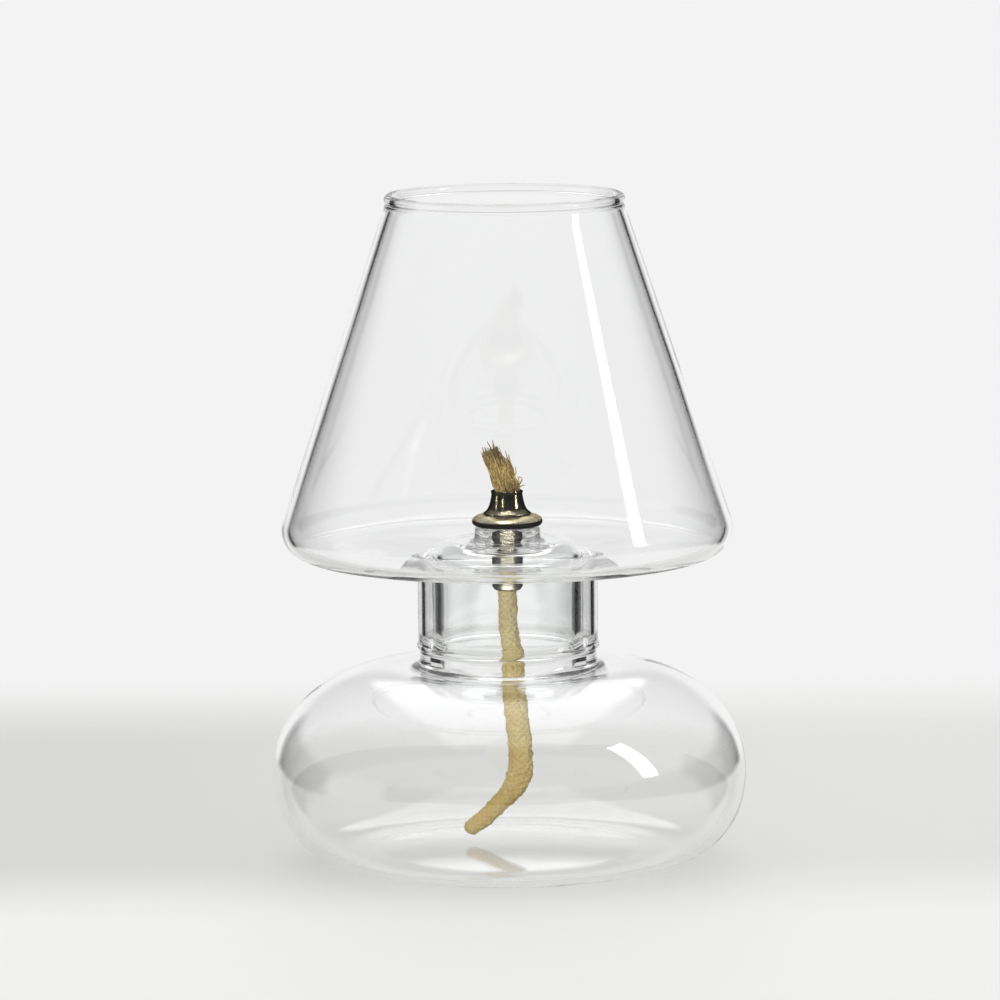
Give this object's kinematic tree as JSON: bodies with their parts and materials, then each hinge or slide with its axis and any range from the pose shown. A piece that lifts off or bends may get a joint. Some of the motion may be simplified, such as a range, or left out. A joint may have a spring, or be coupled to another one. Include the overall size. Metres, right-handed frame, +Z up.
{
  "type": "oil lamp",
  "caption": "Clear glass oil lamp: a squashed round reservoir, a metal wick burner in its neck, and a flaring glass shade that lifts off.",
  "frame": {"origin": "middle of the foot ring, on the surface the lamp stands on", "axes": "+Z up along the lamp's axis; the free tail of the wick bends towards -X"},
  "size_m": [0.1124, 0.1124, 0.1584],
  "materials": {
    "clear_glass": "clear blown glass",
    "shade_glass": "clear blown glass",
    "tube_metal": "pale plated, drawn tube",
    "plate_metal": "pale gold, pressed and polished",
    "nozzle_metal": "pale plated, polished",
    "wick_cotton": "braided cotton, toasted at the frayed end",
    "tail_cotton": "braided natural cotton"
  },
  "bodies": {
    "reservoir": {"reservoir": "clear_glass"},
    "shade": {"shade": "shade_glass"},
    "burner": {"wick_tube": "tube_metal", "drip_plate": "plate_metal", "nozzle": "nozzle_metal"},
    "wick": {"wick": "wick_cotton", "wick_tail": "tail_cotton"}
  },
  "joints": [
    {"name": "shade_lift", "type": "slide", "parent": "reservoir", "child": "shade", "axis": [0, 0, 1], "range_m": [0, 0.06]},
    {"name": "burner_lift", "type": "slide", "parent": "reservoir", "child": "burner", "axis": [0, 0, 1], "range_m": [0, 0.085], "deforming": ["wick_tail"]},
    {"name": "wick_slide", "type": "slide", "parent": "burner", "child": "wick", "axis": [0, 0, 1], "range_m": [0, 0.008]}
  ]
}
